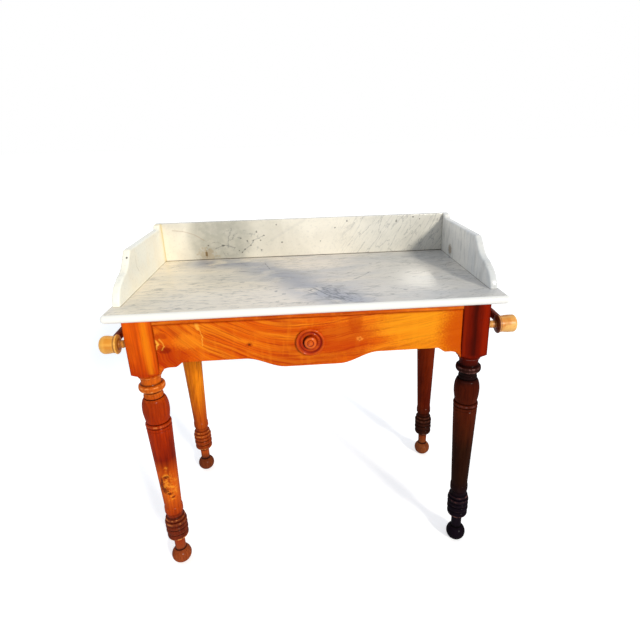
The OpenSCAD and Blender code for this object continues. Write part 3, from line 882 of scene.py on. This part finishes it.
def side_outline():
    """Side upstand seen from the right: distance behind the slab's front edge, height above the slab."""
    foot_r, foot_drop = 57.6, 8
    foot_a = 180 - math.degrees(math.asin(foot_drop / foot_r))
    foot_c = (SIDE_FOOT - foot_r * math.cos(math.radians(foot_a)), -foot_drop)
    shoulder_r = 5
    end, top = (left_hi.y - FRONT_Y) / MM, (left_hi.z - TOP_Z) / MM
    outline = arc(foot_c, foot_r, foot_a, 105, 16)
    outline += arc((SIDE_FOOT + 51, SIDE_LEVEL + 18), 65, -85, -45, 10)
    outline += arc((SIDE_FOOT + 127, SIDE_LEVEL - shoulder_r), shoulder_r, 135, 90, 6)
    outline += arc((end - 28, top), top - SIDE_LEVEL, -90, -15, 8)
    outline += [(end - 12, top), (end, top), (end, 0)]
    return outline[::-1]


def make_side_upstand(node, lo, hi, tones, marks, seed):
    end = (hi.y - FRONT_Y) / MM
    mesh = plate(
        side_outline(), lo.x / MM, hi.x / MM, 4.5, 4.5,
        lambda u, v, w: (w, FRONT_Y + u, TOP_Z + v),
        eased=lambda u, v: v > 0.01 and u < end - 0.01,
    )
    show(node, mesh, marble(node + "_marble", tones, seed, marks))


# ---------- frame ----------


def leg_outline():
    """Turned outline of a leg from the floor up: radius and height."""
    foot_r, foot_rise, foot_mid, neck_r = 25.5, 24.6, 23, 14
    turns = spread(-math.asin(foot_mid / foot_rise), math.acos(neck_r / foot_r), 20)
    outline = [(0, 0)]
    outline += [(foot_r * math.cos(a), max(0.0, foot_mid + foot_rise * math.sin(a))) for a in turns]
    outline += [(13.6, 54), (13.7, 70)]
    outline += flare((14.5, 76), (22, 86))
    outline += bead(23, 26.8, 87, 103)
    outline += bead(24.5, 27.6, 104.5, 118.5)
    outline += [(24, 119.5)]
    outline += bead(25, 27.5, 120.5, 131)
    outline += bead(25, 27.7, 132, 143.5)
    outline += bead(23, 24.9, 144.5, 153.5)
    outline += flare((19.9, 161), (22.2, 154))[::-1]
    outline += [(19.7, 165), (21.4, 168)]
    outline += bead(22.4, 22.9, 169, 186)
    outline += [(21.2 + 8.2 * t, 188 + 231 * t) for t in spread(0, 1, 20)]
    outline += bead(28.2, 29.9, 421, 428.5)
    outline += [(27.9, 429.5)]
    outline += bead(28.2, 30.4, 430.5, 439)
    outline += [(26.4, 440.5)]
    outline += [(27 + 4 * math.sin(QUARTER * t), 442 + 32 * t) for t in spread(0, 1, 12)]
    vase = [(21.5 + 9.5 * math.cos(a), 474 + 31 * math.sin(a)) for a in spread(0, QUARTER, 12)]
    outline += vase[1:]
    outline += bead(21.2, 22.7, 506.5, 514.5)
    outline += flare((21.4, 516), (28, 527))
    outline += bead(28.4, 30.2, 528, 540)
    outline += flare((22.6, 551), (27.6, 541))[::-1]
    return outline + [(23.4, 557), (24.8, 560)]


# Where the leg's round goes over into its square block
CUT_R = 26.5
CUT_DROP = 11
CUT_RISE = 16
CUT_REACH = 18.9


def block_section():
    """The square of the block with eased corners, as points round the axis."""
    half, ease = BLOCK / 2 / MM, 1.5
    widest = math.atan((half - ease) / half)
    side = [(half, half * math.tan(a)) for a in spread(-widest, widest, 16)]
    side += arc((half - ease, half - ease), ease, 30, 60, 1)
    turns = [Matrix.Rotation(QUARTER * i, 2) for i in range(4)]
    return [turn @ Vector(p) for turn in turns for p in side]


def make_leg(node, seed):
    centre = Vector((*middle(node)[:2], 0))
    section = block_section()
    cut_z, top, ease = BLOCK_Z / MM - CUT_DROP, SLAB_Z / MM, 0.8

    def at(direction, radius, z):
        reach = direction.normalized() * radius
        return (centre.x + reach.x * MM, centre.y + reach.y * MM, z * MM)

    def cut(q, share):
        radius = CUT_R + (q.length - CUT_R) * share
        return at(q, radius, cut_z + CUT_RISE * ((radius - CUT_R) / CUT_REACH) ** 0.52)

    profile = leg_outline() + [(CUT_R, cut_z)]
    values = relief(profile, 5.0, 1.6)
    rings = [[at(q, radius, z) for q in section] for radius, z in profile]
    rings += [[cut(q, share) for q in section] for share in spread(0, 1, 7)[1:]]
    rings += [[at(q, q.length, top - ease) for q in section]]
    rings += [[at(q, q.length - ease, top) for q in section]]
    values += [0.0] * (len(rings) - len(values))
    show(node, skin(rings, values), leg_wood(node, centre, seed))


def make_frame():
    for index, node in enumerate(LEG_STAIN_AND_SHADE):
        make_leg(node, 3.0 + 5 * index)
    rails = {
        "side_rail_left": (1, ((140, 50, 8), (200, 88, 16), (222, 116, 30))),
        # The right side rail's tones are darker than the left's, as painted shade like the right legs.
        "side_rail_right": (1, ((84, 24, 8), (136, 46, 14), (160, 66, 24))),
        "back_rail": (0, ((120, 44, 10), (176, 80, 20), (200, 106, 34))),
        "top_front_rail": (0, ((150, 42, 4), (206, 84, 8), (236, 124, 28))),
    }
    for index, (node, (axis, tones)) in enumerate(rails.items()):
        lo, hi = visible_board(node)
        finish = board_wood(node + "_wood", axis, tones, lo, hi, 21.0 + 6 * index)
        show(node, board(lo, hi, 0.9), finish)
    for index, (kind, side) in enumerate(
        itertools.product(("runner", "guide", "kicker"), ("left", "right"))
    ):
        node = f"{kind}_{side}"
        show(node, board(*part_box(node)), plain_wood(node + "_wood", 1, 2.0 + index))
    make_stops()
    make_joint_pegs()


def visible_board(node):
    """A rail's box between the blocks, without the tenons that are hidden in them."""
    lo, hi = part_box(node)
    if node.startswith("side_rail"):
        lo.y, hi.y = block_hi.y, back_leg_lo.y
    else:
        lo.x, hi.x = -block_lo.x, block_lo.x
    return lo, hi


def make_stops():
    lo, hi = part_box("drawer_stops")
    side_lo, side_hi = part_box("drawer_side_right")
    width = side_hi.x - side_lo.x
    left = board(lo, Vector((lo.x + width, hi.y, hi.z)), 0.6)
    right = board(Vector((hi.x - width, lo.y, lo.z)), hi, 0.6)
    show("drawer_stops", merged([left, right]), plain_wood("stops_wood", 2, 12.0))


JOINT_PEG_DROPS = (28, 88)
TENON = 23 * MM


def make_joint_pegs():
    """The domed ends of the pegs that lock the tenons, a hair proud of the blocks."""
    side_length = (block_hi.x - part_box("side_rail_right")[0].x) / MM + 2
    back_length = (back_leg_hi.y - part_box("back_rail")[0].y) / MM + 2
    meshes = []
    for side, drop in itertools.product((-1, 1), JOINT_PEG_DROPS):
        x, z = side * (block_lo.x + TENON / 2), SLAB_Z - drop * MM
        for y in (block_hi.y - TENON / 2, back_leg_lo.y + TENON / 2):
            spot = lambda a, b, h: (side * (block_hi.x + h), y + a, z + b)
            meshes.append(turned(peg_end(side_length), spot, 20))
        spot = lambda a, b, h: (x + a, back_leg_hi.y + h, z + b)
        meshes.append(turned(peg_end(back_length), spot, 20))
    tones = ((36, 16, 8), (66, 32, 16), (92, 50, 26))
    finish = turned_wood("joint_peg_wood", 0, (0, 0, 0), tones, 4.0)
    show("joint_pegs", merged(meshes), finish)


def peg_end(length):
    """Joint peg: radius, distance out from the face of the block."""
    radius, proud = 3, 0.4
    dome = [(radius * math.cos(a), proud * math.sin(a)) for a in (0, 0.4, 0.8, 1.2)]
    return [(0, -length), (radius, -length), *dome, (0, proud)]


# ---------- drawer ----------

HOLE_DEPTH = 8
# How deep the drawer's back is let into its sides
HOUSING = 4 * MM


def front_outline():
    """The drawer front seen from in front, anticlockwise: across, height above the floor."""
    half, top = front_hi.x / MM, front_hi.z / MM
    rise, lip, bend = (60, 152), (288, 309), 319
    level, drop_mid, drop_end, lip_drop = top - 91.5, 25, 28.5, 11
    wave = [(1 - math.cos(a)) / 2 for a in spread(0, math.pi, 16)]
    edge = [(x, level - drop_mid * (1 - t)) for x, t in zip(spread(*rise, 16), wave)]
    edge += [(x, level - lip_drop * t) for x, t in zip(spread(*lip, 16), wave)]
    edge += [
        (bend + (half - bend) * math.sin(a), level - drop_end + (drop_end - lip_drop) * math.cos(a))
        for a in spread(0, QUARTER, 16)
    ]
    return [(-x, z) for x, z in reversed(edge)] + edge + [(half, top), (-half, top)]


def dovetails(grow=0.0):
    """The tails of both drawer sides, which lap into the drawer front."""
    lo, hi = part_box("drawer_side_right")
    pitch = (hi.z - lo.z) / MM / 3
    tip, root = pitch * 0.36 + grow, pitch * 0.25 + grow
    y0, y1 = lo.y / MM - grow, front_hi.y / MM + 1
    meshes = []
    for side, i in itertools.product((-1, 1), range(3)):
        z = lo.z / MM + pitch * (i + 0.5)
        outline = [(y0, z - tip), (y1, z - root), (y1, z + root), (y0, z + tip)]
        x0, x1 = sorted((side * lo.x / MM, side * (hi.x / MM + grow * 4)))
        meshes.append(plate(outline, x0, x1, 0, 0, lambda u, v, w: (w, u, v)))
    return meshes


def in_holes(profile):
    """The same turning in both filled holes. Its heights go inward from the drawer front's face."""
    return [
        turned(profile, lambda a, b, h: (x * MM + a, FACE_Y + h, knob_z + b), 32) for x in PLUG_X
    ]


def pale_plug(s, along, radius):
    """The right plug is paler."""
    s.lay((222, 118, 36), s.step(s.x, 0.0, 1 * MM, 0.0, 0.8))


def make_drawer():
    front = plate(
        front_outline(), front_lo.y / MM, front_hi.y / MM, 1.6, 0.6,
        lambda u, v, w: (u, w, v), steps=4,
    )
    hole = [(0, -1), (PLUG_R, -1), (PLUG_R, HOLE_DEPTH), (0, HOLE_DEPTH)]
    for cutter in dovetails(0.1) + in_holes(hole):
        front = carved(front, cutter)
    show("drawer_front", front, front_wood())
    loose_r = PLUG_R - 0.2
    plugs = in_holes([
        (0, HOLE_DEPTH), (loose_r, HOLE_DEPTH), (loose_r, 0.5), (PLUG_R - 0.7, 0.15), (1.2, 0.4),
        (0, 0.5),
    ])
    tones = ((60, 14, 2), (120, 36, 6), (200, 96, 30))
    finish = turned_wood("plug_wood", 1, (0, 0, 0), tones, 2.0, 0.02, overpaint=pale_plug)
    show("handle_hole_plugs", merged(plugs), finish)
    for index, side in enumerate(("left", "right")):
        node = "drawer_side_" + side
        lo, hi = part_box(node)
        lo.y = front_hi.y
        tails = dovetails()[3 * index : 3 * index + 3]
        show(node, merged([board(lo, hi), *tails]), plain_wood(node + "_wood", 1, 30.0 + index))
    lo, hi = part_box("drawer_back")
    lo.x += HOUSING
    hi.x -= HOUSING
    show("drawer_back", board(lo, hi), plain_wood("drawer_back_wood", 0, 34.0))
    finish = plain_wood("drawer_bottom_wood", 0, 37.0)
    show("drawer_bottom", board(*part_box("drawer_bottom"), 0.5), finish)
    make_knob()


def knob_outline():
    """The knob from its rim to its middle: radius, distance out from the drawer front."""
    outline = [(0, -4), (7, -4), (7, 0), (30.5, 0)]
    outline += arc((29, 4.7), 3.5, -50, 100, 16)
    outline += [(26.6, 6.6), (25.2, 5.0), (23.8, 4.6), (22.8, 5.0), (22, 6.0), (21.2, 6.4)]
    outline += [(20.4, 6.2), (15.9, 3.8), (14.8, 3.6), (14, 4.4), (13.8, 9.8), (13.6, 10.6)]
    outline += [(13.2, 10.9), (9.6, 12.8), (9.0, 12.9), (8.4, 12.7), (5.2, 11.0), (4.5, 11.2)]
    turns = (0, 0.26, 0.52, 0.79, 1.05, 1.31)
    outline += [(4.0 * math.cos(a), 12.4 + 2.6 * math.sin(a)) for a in turns]
    return outline + [(0, 15)]


def knob_shade_and_wear(s, along, radius):
    """Painted shade on the dark ring inside the rim, strongest at the right; a pale middle, as wear
    and painted highlight; a dark ring inside the middle; and a painted shadow of the middle, a
    near-black crescent at its left.
    """
    across = s.x - knob_x
    # Painted shade: the dark ring inside the rim is strongest at the right.
    shade_right = s.step(across, -14 * MM, 16 * MM, 0.55, 0.95)
    s.lay((128, 8, 0), s.band(radius, 24.5 * MM, 4.5 * MM), shade_right)
    # Pale middle: wear and painted highlight.
    s.lay((232, 112, 40), s.step(radius, 13.9 * MM, 12.4 * MM), 0.5)
    s.lay((120, 20, 6), s.band(radius, 7 * MM, 2 * MM), 0.85)
    # Painted shadow of the middle: a near-black crescent at its left.
    shadow_left = s.step(across, 5 * MM, -8 * MM, 0.1, 1.0)
    s.lay((30, 3, 2), s.band(radius, 15.4 * MM, 3 * MM), shadow_left)


def make_knob():
    spot = lambda a, b, h: (knob_x + a, FACE_Y - h, knob_z + b)
    mesh = turned(knob_outline(), spot, 96, faceplate=True)
    tones = ((110, 16, 0), (188, 46, 2), (222, 90, 16))
    centre = (knob_x, 0, knob_z)
    finish = turned_wood("knob_wood", 1, centre, tones, 6.0, 0.2, (110, 12, 0), knob_shade_and_wear, 0.18)
    show("drawer_knob", mesh, finish, crease=40)


# ---------- towel pegs and rails ----------

PEG_R = 22.3
LEFT_PEG = ((168, 84, 14), (232, 154, 46), (254, 194, 90))
RIGHT_PEG = ((176, 84, 22), (224, 142, 54), (250, 196, 112))


def peg_outline(seat, length, round_length):
    """Peg outside the block: radius, distance out from the block's side face."""
    end_r, waist_r, tip_r = PEG_R - 1.5, PEG_R - 2.7, 9
    outline = [(0, -3), (10, -3), (10, 2.5), (8, 4), (7.6, 10)]
    outline += bead(7.8, 9.2, 12, seat - 3)
    outline += [(8.2, seat - 1.8), (11, seat - 0.8), (17, seat)]
    outline += arc((PEG_R - 2.4, seat + 2.6), 2.4, -80, 80)
    outline += [(PEG_R - 2.2, seat + 6.5), (waist_r, seat + 11), (waist_r, seat + 15)]
    outline += [(end_r - 0.3, seat + 21), (end_r, seat + 25.5)]
    reach, start = end_r - tip_r, length - round_length
    outline += [
        (tip_r + reach * math.cos(a), start + (round_length - 1) * math.sin(a))
        for a in spread(0, QUARTER, 12)
    ]
    return outline + [(0, length)]


def make_towel_holder(name, side, seat, length, round_length, tones, tint, amount, depth):
    """The two pegs and the rail of one side.

    seat is where a peg's head begins, and length where it ends, out from the block. The inner
    faces of the heads are darkened with the tint, by that amount and depth, as painted shade.
    """

    def overpaint(s, along, radius):
        """Painted shade on the inner face, and a dark ring behind the collar."""
        out = abs(along) - block_hi.x
        face = s.step(out, (seat + depth) * MM, (seat + depth - 1) * MM)
        # Painted shade on the inner faces of the heads.
        s.lay(tint, face, s.step(radius, 9.4 * MM, 10.6 * MM), amount)
        s.lay((112, 38, 6), s.band(out, (seat + 6.6) * MM, 2.6 * MM), 0.75)

    profile = peg_outline(seat, length, round_length)
    for index, place in enumerate(("front", "back")):
        node = f"peg_{place}_{name}"
        _, y, z = middle(node)
        mesh = turned(profile, lambda a, b, h: (side * (block_hi.x + h), y + a, z + b))
        settings = (8.0 + index, 0.6, (140, 72, 26), overpaint, 0.34)
        show(node, mesh, turned_wood(node + "_wood", 0, (0, y, z), tones, *settings))
    make_towel_rail("towel_rail_" + name, side)


def make_towel_rail(node, side):
    lo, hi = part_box(node)
    x, _, z = middle(node)
    radius, length, steps = (hi.z - lo.z) / 2 / MM, (hi.y - lo.y) / MM, 40
    waves = [0.12 * math.sin(2.3 * i + side) * math.sin(0.7 * i) for i in range(steps + 1)]
    along = spread(0, length, steps)
    profile = [(0, 0), *[(radius - 0.15 + w, h) for w, h in zip(waves, along)], (0, length)]
    mesh = turned(profile, lambda a, b, h: (x + a, lo.y + h, z + b), 48)
    tones = ((50, 10, 4), (106, 32, 14), (142, 58, 32))
    show(node, mesh, turned_wood(node + "_wood", 1, (x, 0, z), tones, 5.0 + side))


def finish_pins():
    """The pins stay as they are, in dull metal, inside the marble."""
    s = Finish("pin_metal", Metallic=1.0, Roughness=0.5)
    tint = s.noise(s.place, (400, 400, 400), 2.0, 3.0)
    s.colour = s.mix(s.step(tint, 0.35, 0.65), (170, 132, 66), (98, 78, 44))
    pins = frame["nodes"]["upstand_pins"]
    pins.data.materials.clear()
    pins.data.materials.append(s.done())


# ---------- stage ----------


def camera():
    yaw, pitch, roll = math.radians(4.01), math.radians(-20.51), math.radians(-1.52)
    focal_px, image_px = 482.95, 640
    centre_px = (336.6, 312.72)
    ahead = Vector((
        math.sin(yaw) * math.cos(pitch), math.cos(yaw) * math.cos(pitch), math.sin(pitch)
    ))
    level = Vector((math.cos(yaw), -math.sin(yaw), 0))
    above = level.cross(ahead)
    right = math.cos(roll) * level + math.sin(roll) * above
    up = -math.sin(roll) * level + math.cos(roll) * above
    data = bpy.data.cameras.new("camera")
    data.sensor_width = 36
    data.lens = 36 * focal_px / image_px
    data.shift_x = (image_px / 2 - centre_px[0]) / image_px
    data.shift_y = (centre_px[1] - image_px / 2) / image_px
    pose = Matrix((right, up, -ahead)).transposed().to_4x4()
    pose.translation = Vector((-0.01295, -1.22936, 1.07652))
    eye = put("camera", data)
    eye.matrix_world = pose
    bpy.context.scene.camera = eye


def seen_directly(tree):
    """1 for camera, glossy and transmission rays, which see the background as white."""
    rays = add(tree, "LightPath").outputs
    total = rays["Is Camera Ray"]
    for name in ("Is Glossy Ray", "Is Transmission Ray"):
        total = add(tree, "Math", (0, total), (1, rays[name]), operation="MAXIMUM").outputs[0]
    return total


AMBIENT = 0.48
FLOOR_GLOW = 0.54
FLOOR_REACH = 40


def world():
    room = bpy.data.worlds.new("room")
    bpy.context.scene.world = room
    room.use_nodes = True
    tree = room.node_tree
    shown = tree.nodes["Background"]
    shown.inputs["Color"].default_value = (1, 1, 1, 1)
    light = add(tree, "Background", ("Color", (0.82, 0.91, 1.04, 1)), ("Strength", AMBIENT))
    choice = ((0, seen_directly(tree)), (1, light.outputs[0]), (2, shown.outputs[0]))
    mix = add(tree, "MixShader", *choice)
    feed(tree, tree.nodes["World Output"].inputs["Surface"], mix.outputs[0])


def floor():
    mesh = bpy.data.meshes.new("floor")
    corners = [(-1, -1), (1, -1), (1, 1), (-1, 1)]
    mesh.from_pydata([(FLOOR_REACH * x, FLOOR_REACH * y, 0) for x, y in corners], [], [range(4)])
    s = Finish("floor", Base_Color=(0.86, 0.86, 0.86, 1), Roughness=0.9, Specular_IOR_Level=0.0)
    glow = s.node("Emission", ("Strength", s.math("MULTIPLY", seen_directly(s.tree), FLOOR_GLOW)))
    total = s.node("AddShader", (0, s.surface.outputs[0]), (1, glow))
    feed(s.tree, s.tree.nodes["Material Output"].inputs["Surface"], total)
    mesh.materials.append(s.material)
    put("floor", mesh)


def lamp(name, toward, strength, colour, spread_by):
    """A distant soft lamp. toward points from the object to the lamp; spread_by is in degrees."""
    data = bpy.data.lights.new(name, "SUN")
    data.energy = strength
    data.color = colour
    data.angle = math.radians(spread_by)
    holder = put(name, data)
    holder.rotation_euler = Vector(toward).to_track_quat("Z", "Y").to_euler()
    return holder


def stage():
    world()
    floor()
    lamp("key", (1.236, -2.2, 1.1), 2.4, (1.0, 0.95, 0.84), 8)
    fill = lamp("fill", (-1.0, 0.9, 0.6), 0.5, (1.0, 1.0, 1.0), 60)
    fill.visible_glossy = False
    bpy.context.scene.view_settings.view_transform = "Standard"


camera()
stage()
make_slab()
make_back_upstand()
make_side_upstand("left_upstand", left_lo, left_hi, SUNLIT_CREAM, left_marks, 11.0)
make_side_upstand("right_upstand", right_lo, right_hi, SHADED_GREY, right_marks, 17.0)
make_frame()
make_drawer()
# The last three arguments paint shade on the pegs' inner faces, darker on the right.
make_towel_holder("left", -1, 25, 66, 13, LEFT_PEG, (44, 6, 2), 0.35, 1.4)
make_towel_holder("right", 1, 28, 75.5, 9, RIGHT_PEG, (96, 14, 4), 0.9, 4.0)
finish_pins()
